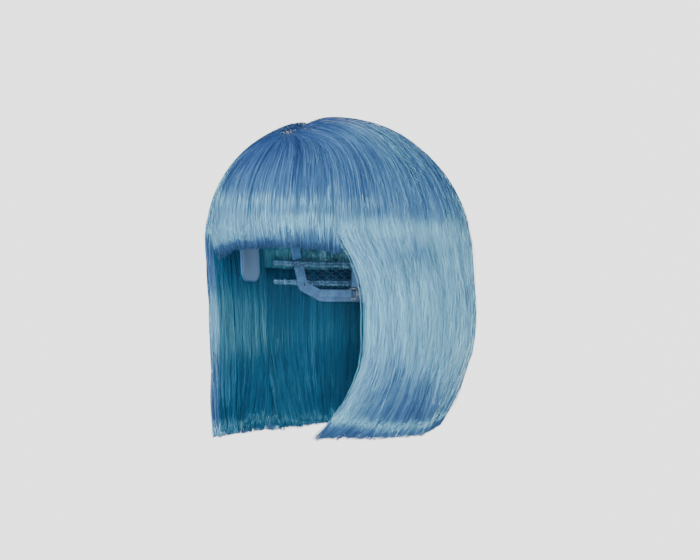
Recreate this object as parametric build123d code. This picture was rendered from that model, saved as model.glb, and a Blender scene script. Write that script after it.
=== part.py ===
"""Short bob costume wig: a net cap with sewn tapes, weft tracks and nape adjusters, and layered hair.

The wig faces -Y and +Z is up. The origin is on the cap's vertical axis, at the cap's widest level,
which is where the head that wears it is widest. Every ring of the cap and of the hair is an ellipse
round that axis, with the same front-to-back ratio. An angle is measured on a ring before it is
stretched front to back: from straight ahead (-Y), towards the wig's left (+X).
"""

from build123d import *
from math import cos, pi, radians, sin, sqrt, tan
import os

# --- Driving sizes of the cap, in millimetres ---------------------------------------------------
cap_half_width = 80.0  # outside of the net at the widest level
cap_height = 94.0  # outside of the net, from the widest level to the crown
depth_ratio = 1.15  # front-to-back size of a ring over its side-to-side size
nape_taper = 3.0  # how much the cap draws in towards the nape
nape_depth = 60.0  # how far below the widest level that taper runs
net_thick = 0.8
tape_thick = 1.0  # bands and tapes sewn inside the net
tape_width = 10.0
sewn_gap = 0.2  # between pieces that are sewn on each other
butt_gap = 0.4  # between pieces that end against each other

front_rim_z = 46.0  # hairline of the cap
temple_y = -62.0
temple_z = 40.0
tab_front_y = -42.0
ear_rim_z = 10.0  # rim over the ear
ear_back_y = 28.0
nape_turn_y = 36.0
nape_turn_z = -30.0
nape_rim_y = 54.0
nape_rim_z = -40.0

tab_length = 30.0  # ear tab, front to back
tab_drop = 34.0  # ear tab, top to bottom
tab_corner = 9.0
tab_thick = 2.0

# --- Weft tracks: the sewn strips that hold the hair, on the outside of the net --------------------
track_thick = 2.0
track_tall = 5.0
track_pitch = 16.0
back_tracks = 6
lowest_track_z = -26.0
track_back_angle = 82.0  # half of each back track's wrap, from the middle of the back
fringe_track_z = 50.0
fringe_track_angle = 32.0
side_track_levels = (16.0, 32.0)
crown_ring_levels = (68.0, 80.0)
crown_patch_radius = 26.0

# --- Hair layers -----------------------------------------------------------------------------------
under_hair_thick = 4.0  # fixed layer sewn to the lower tracks
inner_hair_thick = 4.0  # lower moving layer
outer_hair_thick = 6.5  # top layer
crown_hair_thick = 10.4
layer_gap = 1.2
hair_drop = 148.0  # from the widest level down to the hem, at the front
hem_rise = 9.0  # how much higher the hem is at the back than at the front
cheek_swell = 2.8  # how much the hair stands out further at the cheek than at the temple
hem_tuck = 15.0  # how much the hem curls in
fringe_edge_z = 3.5  # cut edge of the fringe, at brow height
fringe_half_angle = 42.0  # from straight ahead, where the fringe meets the side hair
back_half_angle = 48.0  # from straight behind, where the side hair meets the back hair
section_gap = 0.6  # between neighbouring sections of hair, in degrees
parting_gap = 0.6
under_side_top = 20.0  # where the fixed layer at the sides starts
crown_parting_x = -12.0

# Half width of the face opening, at these depths below the fringe edge.
face_opening = ((20.0, 77.0), (60.0, 82.0), (95.0, 79.0), (122.0, 69.0), (155.0, 44.0))
opening_corner_half_width = 64.0

# --- Hinge lines of the hair ------------------------------------------------------------------------
fringe_hinge_z = 62.0
fringe_hinge_inset = 10.0  # behind the hair's front surface
side_hinge_z = 30.0
side_hinge_inset = 1.5  # inside the inner layer
back_hinge_z = 30.0
back_hinge_inset = 4.0
fringe_lift = 35.0  # degrees
side_swing = 40.0
back_lift = 40.0
notch_spare = 2.0  # degrees of room past the full lift

# --- Nape adjusters ---------------------------------------------------------------------------------
adjuster_angle = 20.0  # from straight behind, at the middle of the row of loops
adjuster_z = -32.5
hook_travel = 16.0
loop_rise = 1.0  # between the loops and the nape band
loop_pitch = 8.0
loop_count = 4
loop_width = 3.0
loop_tall = 12.0
loop_wall = 1.0
strap_thick = 1.0
strap_tall = 7.0
strap_length = 26.0
tongue_thick = 1.0
tongue_tall = 5.0
tongue_length = 24.0
ring_tall = 11.0
ring_length = 7.4
ring_wall = 1.8
running_gap = 0.9  # round the hook's tongue in the loops

label_width = 24.0
label_tall = 16.0
label_thick = 0.5

far = 400.0  # longer than anything that a cutting block has to pass through

# --- Radii and heights that follow from the sizes above --------------------------------------------
side_loft = track_thick + under_hair_thick + inner_hair_thick + outer_hair_thick + 4 * layer_gap
crown_loft = track_thick + layer_gap + crown_hair_thick
hair_half_width = cap_half_width + side_loft
hair_height = cap_height + crown_loft
inner_hair_depth = outer_hair_thick + layer_gap
under_hair_depth = inner_hair_depth + inner_hair_thick + layer_gap
tape_face = -net_thick - sewn_gap  # outer face of the tapes, measured outwards from the net
inner_face = tape_face - tape_thick  # the cap's innermost sewn face


def dome_radius(half_width, height, z):
    """Side-to-side radius at height z of a dome with that half width and that height."""
    return half_width * sqrt(1 - (z / height) ** 2)


def cap_radius(offset, z):
    """Side-to-side radius of the cap's surface moved outwards by offset, at height z."""
    if z >= 0:
        return dome_radius(cap_half_width + offset, cap_height + offset, z)
    return cap_half_width + offset + nape_taper * z / nape_depth


def ring_skin(outer, inner, start, end):
    """The solid between two profiles, turned round the axis between two angles and then stretched."""
    ends = [Line(outer[0] @ 0, inner[0] @ 0), Line(outer[-1] @ 1, inner[-1] @ 1)]
    face = make_face(Curve() + [*outer, *inner, *ends])
    turned = revolve(Rot(0, 0, start - 90) * face, Axis.Z, revolution_arc=end - start)
    return scale(turned, by=(1, depth_ratio, 1))


def quarter(half_width, height):
    """Profile of a dome, from its top down to its widest level."""
    return Plane.XZ * EllipticalCenterArc((0, 0), half_width, height, start_angle=90, arc_size=-90)


def cap_profile(offset):
    start = (cap_half_width + offset, 0, 0)
    end = (cap_half_width + offset - nape_taper, 0, -nape_depth)
    return [quarter(cap_half_width + offset, cap_height + offset), Line(start, end)]


def cap_skin(outer_offset, inner_offset, start=0, end=360):
    """Layer of the cap between two offsets, which are measured outwards from the net's outer face."""
    return ring_skin(cap_profile(outer_offset), cap_profile(inner_offset), start, end)


def hair_profile(depth):
    widest = hair_half_width - depth
    down = Spline(
        (widest, 0, 0),
        (widest + cheek_swell, 0, -0.32 * hair_drop),
        (widest - 0.17 * hem_tuck, 0, -0.7 * hair_drop),
        (widest - hem_tuck, 0, -hair_drop),
        tangents=[(0, 0, -1), (-0.42, 0, -1)],
    )
    return [quarter(widest, hair_height - depth), down]


def hair_skin(outer_depth, inner_depth, start=0, end=360):
    """Layer of hair between two depths, which are measured inwards from the hair's surface."""
    return ring_skin(hair_profile(outer_depth), hair_profile(inner_depth), start, end)


def slab(low, high):
    """Everything between two levels."""
    return Pos(0, 0, (low + high) / 2) * Box(far, far, high - low)


def side_view(points):
    """Block with that outline in the side view, where each point is (y, z)."""
    outline = Polyline(*[(0, y, z) for y, z in points], close=True)
    return extrude(make_face(outline), amount=far, both=True, dir=(1, 0, 0))


def front_view(points):
    """Block with that outline in the front view, where each point is (x, z)."""
    outline = Polyline(*[(x, 0, z) for x, z in points], close=True)
    return extrude(make_face(outline), amount=far, both=True, dir=(0, 1, 0))


def half(sign):
    """Everything on one side of the middle plane: sign is 1 for the wig's left and -1 for its right."""
    return Pos(sign * far / 2, 0, 0) * Box(far, far, far)


def both_sides(name, left):
    """The same piece on the wig's left and, mirrored, on its right."""
    return {f"{name}_left": left, f"{name}_right": mirror(left, about=Plane.YZ)}


# --- Cap ---------------------------------------------------------------------------------------------
rim = [
    (-far, front_rim_z),
    (temple_y - 16, front_rim_z - 1),
    (temple_y, temple_z),
    (tab_front_y, ear_rim_z),
    (ear_back_y, ear_rim_z),
    (nape_turn_y, nape_turn_z),
    (nape_rim_y, nape_rim_z),
    (far, nape_rim_z),
]


def parallel(points, shift):
    """The line moved sideways by shift, to the left of its direction, with mitred corners."""
    moved = []
    for k, (y, z) in enumerate(points):
        before = Vector(*points[max(k - 1, 0)], 0)
        after = Vector(*points[min(k + 1, len(points) - 1)], 0)
        here = Vector(y, z, 0)
        into = (here - before).normalized() if k else (after - here).normalized()
        out = (after - here).normalized() if k < len(points) - 1 else into
        normal = Vector(-into.Y - out.Y, into.X + out.X, 0).normalized()
        stretch = 1 / max(0.5, normal.dot(Vector(-into.Y, into.X, 0)))
        moved.append((y + normal.X * shift * stretch, z + normal.Y * shift * stretch))
    return moved


def above_rim(shift):
    """Everything above the cap's rim, moved up into the cap by shift."""
    line = parallel(rim, shift)
    return side_view([*line, (far, far), (-far, far)])


def cap_parts():
    net = cap_skin(0, -net_thick) & above_rim(0)
    rear_half = Pos(0, butt_gap / 2 + far / 2, 0) * Box(far, far, far)
    front_half = Pos(0, -butt_gap / 2 - far / 2, 0) * Box(far, far, far)
    tapes = cap_skin(tape_face, inner_face) & above_rim(butt_gap)
    rim_band = tapes - above_rim(tape_width)
    panel = tapes & above_rim(tape_width + butt_gap)
    front_cut, back_cut = tab_front_y + 6, ear_back_y + 4
    ahead = Pos(0, front_cut - far / 2, 0) * Box(far, far, far)
    behind = Pos(0, back_cut + far / 2, 0) * Box(far, far, far)
    between = Pos(0, (front_cut + back_cut) / 2, 0) * Box(far, back_cut - front_cut - 2 * butt_gap, far)
    cross = Box(far, tape_width, far)
    rear = Pos(0, tape_width / 2 + butt_gap + far / 2, 0) * Box(far, far, far)
    centre = Box(tape_width, far, far)
    rear_tape_x = 34.0 + tape_width / 2
    parts = {
        "cap_net_front": net & front_half,
        "cap_net_back": net & rear_half,
        "front_band": rim_band & ahead,
        "nape_band": rim_band & behind,
        "cross_tape": panel & cross,
        "centre_tape": panel & centre & rear,
    }
    parts |= both_sides("side_band", rim_band & between & half(1))
    parts |= both_sides("back_tape", panel & (Pos(rear_tape_x, 0, 0) * centre) & rear)
    return parts


def track(low, start, end):
    """Weft track on the net's outer face, from one angle to another."""
    return cap_skin(sewn_gap + track_thick, sewn_gap, start, end) & slab(low, low + track_tall)


def track_parts():
    parts = {}
    for row in range(back_tracks):
        low = lowest_track_z + row * track_pitch
        parts[f"back_track_{row + 1}"] = track(low, 180 - track_back_angle, 180 + track_back_angle)
    parts["fringe_track"] = track(fringe_track_z, -fringe_track_angle, fringe_track_angle)
    side_start, side_end = fringe_half_angle + 16, 180 - track_back_angle - 2
    left = Part() + [track(low, side_start, side_end) for low in side_track_levels]
    parts |= both_sides("side_track", left)
    parts["crown_tracks"] = Part() + [track(low, 0, 360) for low in crown_ring_levels]
    top = cap_skin(sewn_gap + tape_thick, sewn_gap)
    disc = scale(Cylinder(crown_patch_radius, far), by=(1, depth_ratio, 1))
    parts["crown_patch"] = top & disc & slab(0, far)
    return parts


def ear_tab():
    """Fabric tab in front of the ear, on the wig's left."""
    top = ear_rim_z - butt_gap
    middle = tab_front_y + 4 + tab_length / 2
    outline = Pos(0, middle, top - tab_drop / 2) * Rot(0, 90, 0) * RectangleRounded(tab_drop, tab_length, tab_corner)
    blank = extrude(outline, amount=far, dir=(1, 0, 0))
    skin = cap_skin(0, -tab_thick)
    return skin & blank


def ear_tab_hinge():
    """(x, z) of the line that the left ear tab folds about, at the innermost point of its top edge."""
    top = ear_rim_z - butt_gap
    end = tab_front_y + 4
    ring = cap_radius(-tab_thick, top)
    return ring * sqrt(1 - (end / (depth_ratio * ring)) ** 2) - 0.5, top


# --- Hair --------------------------------------------------------------------------------------------
def face_block():
    """The face opening: what lies between the side sections, below the fringe edge."""
    right = [(w, fringe_edge_z - d) for d, w in face_opening]
    low = (face_opening[-1][1], -far)
    curve = Spline((opening_corner_half_width, 0, fringe_edge_z), *[(x, 0, z) for x, z in right])
    chin = (*right[-1][:1], 0, right[-1][1])
    down = Line(chin, (low[0], 0, low[1]))
    edges = [curve, down]
    mirrored = [mirror(e, about=Plane.YZ) for e in edges]
    top = Line(curve @ 0, mirrored[0] @ 0)
    bottom = Line(down @ 1, mirrored[1] @ 1)
    outline = make_face(Curve() + [*edges, *mirrored, top, bottom])
    return extrude(outline, amount=far, dir=(0, -1, 0))


def above_hem():
    """Everything above the hem, which rises towards the back."""
    reach = depth_ratio * hair_half_width
    steepness = hem_rise / (2 * reach)
    low, high = -hair_drop - steepness * (far - reach), -hair_drop + steepness * (far + reach)
    return side_view([(-far, low), (far, high), (far, far), (-far, far)])


def hair_ring(z, depth):
    """Side-to-side radius of the hair's surface at height z, in the dome, at that depth."""
    return dome_radius(hair_half_width - depth, hair_height - depth, z)


moving_depth = inner_hair_depth + inner_hair_thick
fringe_hinge_y = -(depth_ratio * hair_ring(fringe_hinge_z, 0) - fringe_hinge_inset)
side_hinge_x = hair_ring(side_hinge_z, moving_depth) - side_hinge_inset
back_hinge_y = depth_ratio * hair_ring(back_hinge_z, moving_depth) - back_hinge_inset


def below_hinge(out, level, lift):
    """Outline of what may hang from a hinge line: under it, and under the notch that its lift needs.
    The first number of each point is the distance outwards from the axis."""
    fall = far * tan(radians(lift + notch_spare))
    return [(-far, level), (out, level), (out + far, level - fall), (out + far, -2 * far), (-far, -2 * far)]


def ring_turn(start, end):
    """The crown's layer of hair, between two angles."""
    return hair_skin(0, crown_hair_thick, start, end)


def crown_parts():
    over_fringe = ring_turn(-fringe_half_angle, fringe_half_angle) & slab(fringe_hinge_z + butt_gap, far)
    rest = ring_turn(fringe_half_angle, 360 - fringe_half_angle) & slab(side_hinge_z + butt_gap, far)
    dome = over_fringe + rest
    cut = crown_parting_x
    left = dome & (Pos(cut + far / 2, 0, 0) * Box(far, far, far))
    right = dome & (Pos(cut - parting_gap - far / 2, 0, 0) * Box(far, far, far))
    return {"crown_hair_left": left, "crown_hair_right": right}


def section_parts():
    """The moving sections: fringe, sides and back, each with an outer and an inner layer."""
    fringe_room = side_view([(-out, z) for out, z in below_hinge(-fringe_hinge_y, fringe_hinge_z, fringe_lift)])
    fringe_room &= slab(fringe_edge_z, far)
    back_room = side_view(below_hinge(back_hinge_y, back_hinge_z, back_lift))
    side_room = front_view(below_hinge(side_hinge_x, side_hinge_z, side_swing))
    side_start = fringe_half_angle + section_gap
    side_end = 180 - back_half_angle - section_gap
    parts = {}
    for layer, depths in {"outer": (0, outer_hair_thick), "inner": (inner_hair_depth, moving_depth)}.items():
        fringe = hair_skin(*depths, -fringe_half_angle, fringe_half_angle)
        back = hair_skin(*depths, 180 - back_half_angle, 180 + back_half_angle)
        side = hair_skin(*depths, side_start, side_end)
        parts[f"fringe_hair_{layer}"] = fringe & fringe_room
        parts[f"back_hair_{layer}"] = back & back_room & above_hem()
        sides = both_sides("side_hair", (side & side_room & above_hem()) - face_block())
        parts |= {f"{name}_{layer}": piece for name, piece in sides.items()}
    return parts


def under_parts():
    """The fixed layer under the moving sections, sewn to the lowest tracks."""
    depths = (under_hair_depth, under_hair_depth + under_hair_thick)
    split = 180 - track_back_angle
    back = hair_skin(*depths, split, 360 - split) & slab(-far, lowest_track_z + track_pitch) & above_hem()
    side = hair_skin(*depths, fringe_half_angle + 8, split - section_gap) & slab(-far, under_side_top) & above_hem()
    return {"nape_hair": back} | both_sides("temple_hair", side - face_block())


# --- Nape adjusters ----------------------------------------------------------------------------------
def adjuster_plane():
    """Frame of the left adjuster: x runs along the nape towards the ear, y is up and z points in at the head."""
    ring = cap_radius(inner_face, adjuster_z)
    turn = radians(180 - adjuster_angle)
    at = Vector(ring * sin(turn), -depth_ratio * ring * cos(turn), adjuster_z)
    along = Vector(-ring * cos(turn), -depth_ratio * ring * sin(turn), 0).normalized()
    return Plane(origin=at, x_dir=along, z_dir=along.cross(Vector(0, 0, 1)))


def adjuster_bend():
    """Radius that the nape band is bent to, at the adjuster."""
    ring = cap_radius(inner_face, adjuster_z)
    turn = radians(adjuster_angle)
    return ring / depth_ratio * ((cos(turn)) ** 2 + (depth_ratio * sin(turn)) ** 2) ** 1.5


def bent_bar(rise, thick, tall, start, end):
    """Flat bar in the adjuster's frame, bent to follow the band at that rise from it."""
    bend = adjuster_bend()
    tube = Cylinder(bend - rise, tall) - Cylinder(bend - rise - thick, tall * 2)
    wedge = Pos(0, 0, bend) * Rot(-90, 0, 0) * tube
    turns = [(start + (end - start) * k / 2) / bend for k in range(3)]
    corners = [(2 * bend * sin(t), 0, bend - 2 * bend * cos(t)) for t in turns]
    pie = extrude(make_face(Polyline((0, 0, bend), *corners, close=True)), amount=tall, both=True, dir=(0, 1, 0))
    return wedge & pie


def adjuster_parts():
    """Loops, hook and elastic strap on the wig's left, with the hook in the loops nearest the middle."""
    frame = adjuster_plane()
    slot_deep = tongue_thick + 2 * running_gap
    tongue_rise = loop_rise + running_gap
    row = loop_pitch * (loop_count - 1) + loop_width
    tongue_end = row / 2 + running_gap
    tongue_start = tongue_end - tongue_length
    loops = []
    for k in range(loop_count):
        start = -row / 2 + loop_pitch * k
        whole = bent_bar(loop_rise, slot_deep + loop_wall, loop_tall, start, start + loop_width)
        slot = bent_bar(loop_rise - 1, slot_deep + 1, loop_tall - 2 * loop_wall, start - 1, start + loop_width + 1)
        loops.append(whole - slot)
    tongue = bent_bar(tongue_rise, tongue_thick, tongue_tall, tongue_start, tongue_end + ring_wall / 2)
    ring = bent_bar(tongue_rise, tongue_thick, ring_tall, tongue_end, tongue_end + ring_length)
    eye_start, eye_end = tongue_end + ring_wall, tongue_end + ring_length - ring_wall
    ring -= bent_bar(tongue_rise - 1, tongue_thick + 2, ring_tall - 2 * ring_wall, eye_start, eye_end)
    strap_start = tongue_end + ring_length + butt_gap
    strap = bent_bar(tongue_rise, strap_thick, strap_tall, strap_start, strap_start + strap_length)
    return {
        "adjuster_loops": frame * (Part() + loops),
        "adjuster_hook": frame * (tongue + ring),
        "adjuster_strap": frame * strap,
    }


def label():
    """Blank care label that hangs inside the nape band."""
    ring = depth_ratio * cap_radius(inner_face, nape_rim_z)
    back = ring * sqrt(1 - (label_width / 2 / cap_radius(inner_face, nape_rim_z)) ** 2) - butt_gap - label_thick
    return Pos(0, back, nape_rim_z + tape_width / 2 - label_tall / 2) * Box(label_width, label_thick, label_tall)


def all_parts():
    parts = cap_parts() | track_parts() | both_sides("ear_tab", ear_tab())
    parts |= crown_parts() | section_parts() | under_parts()
    for name, left in adjuster_parts().items():
        parts |= both_sides(name, left)
    parts["care_label"] = label()
    return parts


def main():
    os.makedirs("parts", exist_ok=True)
    parts = all_parts()
    for name, shape in parts.items():
        export_step(shape, f"parts/{name}.step")
    tab_x, tab_z = ear_tab_hinge()
    centre = adjuster_plane().origin + adjuster_plane().z_dir * adjuster_bend()
    turn = hook_travel / adjuster_bend() * 180 / pi
    print(f"fringe hinge y {fringe_hinge_y:.3f} z {fringe_hinge_z:.3f}")
    print(f"side hinge x {side_hinge_x:.3f} z {side_hinge_z:.3f}")
    print(f"back hinge y {back_hinge_y:.3f} z {back_hinge_z:.3f}")
    print(f"ear tab hinge x {tab_x:.3f} z {tab_z:.3f}")
    print(f"left hook turns about x {centre.X:.4f} y {centre.Y:.4f} through {turn:.3f} degrees")


main()
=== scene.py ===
from math import cos, pi, radians, sin, sqrt

import bpy
import numpy as np
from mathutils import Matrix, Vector


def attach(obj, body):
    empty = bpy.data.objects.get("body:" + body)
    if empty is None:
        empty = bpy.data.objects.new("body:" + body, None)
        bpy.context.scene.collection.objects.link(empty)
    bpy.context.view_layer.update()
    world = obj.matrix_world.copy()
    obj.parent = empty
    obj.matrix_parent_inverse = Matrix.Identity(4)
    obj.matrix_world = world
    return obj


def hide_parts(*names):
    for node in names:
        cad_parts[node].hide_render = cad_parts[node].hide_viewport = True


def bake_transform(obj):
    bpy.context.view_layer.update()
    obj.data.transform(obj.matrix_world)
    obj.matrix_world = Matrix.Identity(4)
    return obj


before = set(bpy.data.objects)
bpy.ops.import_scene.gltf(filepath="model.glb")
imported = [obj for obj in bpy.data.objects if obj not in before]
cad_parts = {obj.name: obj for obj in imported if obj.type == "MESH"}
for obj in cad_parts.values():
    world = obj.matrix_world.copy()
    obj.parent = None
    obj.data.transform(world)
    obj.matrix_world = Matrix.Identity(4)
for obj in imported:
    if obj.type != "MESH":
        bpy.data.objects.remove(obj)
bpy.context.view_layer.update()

rng = np.random.default_rng(54)

# ------------------------------------------------------------------ shape of the hair, in metres
RATIO = 1.15  # front-to-back size of a ring over its side-to-side size
HALF = 0.1013  # half width of the hair at the cap's widest level
TALL = 0.1076  # from that level up to the crown
HEM_FRINGE, HEM_FRINGE_UNDER = -0.005, -0.003  # heights of the fringe's cut edges, at its middle
HEM_TOP, HEM_UNDER, HEM_NAPE, HEM_TEMPLE = -0.1507, -0.1477, -0.1485, -0.1465  # hems, beside the face
TOP_LAYER = (0, 0.0066)  # least and greatest depth of a layer under the surface
UNDER_LAYER = (0.006, 0.0122)
FIXED_LAYER = (0.0124, 0.0165)
PER_LOCK = 10  # strands in a lock, on average
PART_FRONT = np.array([0.003, -0.068])  # plan position of the two ends of the parting
PART_BACK = np.array([-0.020, 0.022])


def smooth_table(knots, count=200):
    """A smooth curve through the knots, as a table for np.interp."""
    z = np.array([k[0] for k in knots])[::-1]
    v = np.array([k[1] for k in knots])[::-1]
    slope = np.gradient(v, z)
    fine = np.linspace(z[0], z[-1], count)
    i = np.clip(np.searchsorted(z, fine) - 1, 0, len(z) - 2)
    h = z[i + 1] - z[i]
    u = (fine - z[i]) / h
    out = ((1 + 2 * u) * (1 - u) ** 2 * v[i] + u * (1 - u) ** 2 * h * slope[i]
           + u * u * (3 - 2 * u) * v[i + 1] + u * u * (u - 1) * h * slope[i + 1])
    return fine, out


# Below the widest level the hair hangs almost straight beside the face. Behind, it swells and tucks under.
CURTAIN_Z, BESIDE_FACE = smooth_table(
    [(0.03, 0.0), (0.015, -0.0002), (0.0, -0.001), (-0.04, -0.002), (-0.07, -0.0027), (-0.1, -0.0042),
     (-0.137, -0.006), (-0.165, -0.0078)])
_, BEHIND = smooth_table(
    [(0.03, 0.0), (0.015, 0.0003), (0.0, 0.0014), (-0.04, 0.004), (-0.062, 0.0045), (-0.084, 0.0013),
     (-0.1, -0.004), (-0.125, -0.0135), (-0.137, -0.0205), (-0.165, -0.037)])


def steps(low, high, x):
    u = np.clip((x - low) / (high - low), 0, 1)
    return u * u * (3 - 2 * u)


def curtain(z, turn):
    """How far the hair stands out from HALF, at a height and a ring angle."""
    behind = steps(1.2, 2.05, np.abs(np.where(turn > pi, 2 * pi - turn, turn)))
    return np.interp(z, CURTAIN_Z, BESIDE_FACE) * (1 - behind) + np.interp(z, CURTAIN_Z, BEHIND) * behind


def ring(z, depth, turn=1.4):
    """Side-to-side radius of the hair at height z and at that depth under its surface."""
    up = np.clip(z, 0, None)
    dome = (HALF - depth) * np.sqrt(np.clip(1 - (up / (TALL - depth)) ** 2, 1e-9, 1))
    return dome + curtain(np.minimum(z, 0.03), turn)


def dome_z(rho, depth):
    """Height of the hair's dome at elliptical radius rho."""
    return (TALL - depth) * np.sqrt(np.clip(1 - (rho / (HALF - depth)) ** 2, 0, 1))


def place(turn, rho, z):
    """Points from ring angle, radius and height."""
    return lean(np.stack([rho * np.sin(turn), -RATIO * rho * np.cos(turn), z], -1))


def lean(points):
    """The crown sits a little towards the wearer's right and front."""
    return points + steps(0.02, 0.1, points[..., 2:]) * np.array([-0.0024, -0.0018, 0])


def surface_normal(points, depth):
    """Outward normal of the hair's surface at those points."""
    x, y, z = points[..., 0], points[..., 1] / RATIO, points[..., 2]
    rho = np.sqrt(x * x + y * y) + 1e-9
    up = np.clip(z, 0, None) * (HALF - depth) ** 2 / (TALL - depth) ** 2
    turn = np.arctan2(x, -y) % (2 * pi)
    slope = (curtain(z - 0.004, turn) - curtain(z + 0.004, turn)) / 0.008
    nz = np.where(z >= 0, up, slope * rho)
    n = np.stack([x, y / RATIO, nz], -1)
    return n / np.linalg.norm(n, axis=-1, keepdims=True)


# ------------------------------------------------------------------ materials
def srgb(code):
    """Linear colour from an sRGB hex value."""
    parts = [int(code[i:i + 2], 16) / 255 for i in (0, 2, 4)]
    return [c / 12.92 if c <= 0.04045 else ((c + 0.055) / 1.055) ** 2.4 for c in parts] + [1.0]


def add(tree, kind, settings=(), links=()):
    """Adds a node, with its settings and what feeds its inputs."""
    node = tree.nodes.new(kind)
    for key, value in dict(settings).items():
        if isinstance(key, int) or key in node.inputs:
            node.inputs[key].default_value = value
        else:
            setattr(node, key, value)
    for key, source in dict(links).items():
        tree.links.new(source, node.inputs[key])
    return node


def material(name, **fixed):
    """A material with its shader's fixed values set on the shader itself."""
    made = bpy.data.materials.new(name)
    made.use_nodes = True
    shader = made.node_tree.nodes["Principled BSDF"]
    for key, value in fixed.items():
        shader.inputs[key.replace("_", " ")].default_value = value
    return made, made.node_tree, shader


def ramp(tree, factor, stops):
    """Colour ramp through the stops, each a position and an sRGB hex value."""
    node = add(tree, "ShaderNodeValToRGB", links={"Fac": factor})
    points = node.color_ramp.elements
    while len(points) < len(stops):
        points.new(0.5)
    for point, (where, code) in zip(points, stops):
        point.position = where
        point.color = srgb(code)
    return node.outputs["Color"]


def fibre_material(name, stops, gloss):
    # Modacrylic filament, spun and heat-set straight: a silky gloss that runs in streaks along each lock.
    made, tree, shader = material(name, IOR=1.85, Specular_Tint=srgb("a4f8ff"))
    marks = add(tree, "ShaderNodeUVMap", {"uv_map": "fibre"})
    split = add(tree, "ShaderNodeSeparateXYZ", links={"Vector": marks.outputs["UV"]})
    # Each strand has its own tone, and dye and handling change it slowly along its length, every 40 mm or so.
    along = add(tree, "ShaderNodeMapping", {"Scale": (37.0, 24.0, 1.0)}, {"Vector": marks.outputs["UV"]})
    streak = add(tree, "ShaderNodeTexNoise", {"Scale": 1.0, "Detail": 3.0},
                 {"Vector": along.outputs["Vector"]})
    tone = add(tree, "ShaderNodeMath", {"operation": "MULTIPLY_ADD", 1: 0.55},
               {0: split.outputs["X"], 2: streak.outputs["Fac"]})
    # Painted shade at the roots: every strand is shifted darker, and more so over its first 60 mm, for the
    # shade where the strands crowd together.
    root = add(tree, "ShaderNodeMapRange", {"From Max": 0.06, "To Min": -0.65, "To Max": -0.28},
               {"Value": split.outputs["Y"]})
    shift = add(tree, "ShaderNodeMath", {"operation": "ADD"},
                {0: tone.outputs["Value"], 1: root.outputs["Result"]})
    colour = ramp(tree, shift.outputs["Value"], stops)
    tree.links.new(colour, shader.inputs["Base Color"])
    # Brushed and matt near the roots; the gloss builds up by a hand's breadth down.
    silk = add(tree, "ShaderNodeMapRange",
               {"From Min": 0.038, "From Max": 0.087, "To Min": 0.06, "To Max": gloss,
                "interpolation_type": "SMOOTHSTEP"}, {"Value": split.outputs["Y"]})
    tree.links.new(silk.outputs["Result"], shader.inputs["Specular IOR Level"])
    rough = add(tree, "ShaderNodeMapRange", {"To Min": 0.17, "To Max": 0.3}, {"Value": streak.outputs["Fac"]})
    tree.links.new(rough.outputs["Result"], shader.inputs["Roughness"])
    # Fine drawing lines on the filaments, about 0.1 mm apart, drawn coarser than real so that they show.
    fine = add(tree, "ShaderNodeMapping", {"Scale": (900.0, 60.0, 1.0)}, {"Vector": marks.outputs["UV"]})
    lines = add(tree, "ShaderNodeTexNoise", {"Scale": 1.0, "Detail": 2.0}, {"Vector": fine.outputs["Vector"]})
    bump = add(tree, "ShaderNodeBump", {"Strength": 0.25, "Distance": 0.0002},
               {"Height": lines.outputs["Fac"]})
    tree.links.new(bump.outputs["Normal"], shader.inputs["Normal"])
    return made


FIBRE = fibre_material("Modacrylic fibre, light blue",
                       [(0.1, "254071"), (0.4, "355483"), (0.66, "476d9a"), (0.95, "6f9ac3")], 1.0)
# The same filament in the layers nearest the head, in a darker copy of its colours: painted shade for the
# shadow those layers lie in.
FIBRE_SHADED = fibre_material("Modacrylic fibre, darkened for shade",
                      [(0.12, "163a58"), (0.4, "1b4766"), (0.66, "215372"), (0.95, "2c6286")], 0.3)


def cloth_material(name, stops, rib, rough, raised, **fixed):
    """Woven or knitted stuff: ribs of that size along and across, in metres, with a mottled colour."""
    made, tree, shader = material(name, **fixed)
    marks = add(tree, "ShaderNodeUVMap", {"uv_map": "fibre"})
    waves = [add(tree, "ShaderNodeTexWave",
                 {"bands_direction": way, "Scale": 0.314 / size, "Distortion": 0.6},
                 {"Vector": marks.outputs["UV"]}) for way, size in zip("XY", rib)]
    weave = add(tree, "ShaderNodeMath", {"operation": "MULTIPLY"},
                {k: w.outputs["Fac"] for k, w in enumerate(waves)})
    mottle = add(tree, "ShaderNodeTexNoise", {"Scale": 130.0, "Detail": 4.0}, {"Vector": marks.outputs["UV"]})
    tone = add(tree, "ShaderNodeMath", {"operation": "MULTIPLY_ADD", 1: 0.35},
               {0: weave.outputs["Value"], 2: mottle.outputs["Fac"]})
    tree.links.new(ramp(tree, tone.outputs["Value"], stops), shader.inputs["Base Color"])
    span = add(tree, "ShaderNodeMapRange", {"To Min": rough[0], "To Max": rough[1]},
               {"Value": mottle.outputs["Fac"]})
    tree.links.new(span.outputs["Result"], shader.inputs["Roughness"])
    bump = add(tree, "ShaderNodeBump", {"Strength": 0.6, "Distance": raised},
               {"Height": weave.outputs["Value"]})
    tree.links.new(bump.outputs["Normal"], shader.inputs["Normal"])
    return made


# Warp-knitted nylon net: thin dull threads, slightly paler where they have been stretched.
NET = cloth_material("Stretch net, nylon, navy", [(0.3, "1b2b45"), (0.9, "34507a")],
                     (0.0006, 0.4), (0.5, 0.7), 0.00005)
# Grosgrain ribbon: cross ribs under a millimetre apart catch the light in rows.
RIBBON = cloth_material("Grosgrain ribbon, polyester, blue", [(0.3, "234a75"), (0.9, "3d74a8")],
                        (0.0009, 0.0006), (0.45, 0.65), 0.0002)
# Knitted elastic: deeper ribs along its length, and a dry, dusty surface.
ELASTIC = cloth_material("Ribbed elastic, blue", [(0.3, "1f4068"), (0.9, "42719c")],
                         (0.0012, 0.0011), (0.6, 0.8), 0.0003, Sheen_Weight=0.15)
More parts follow.
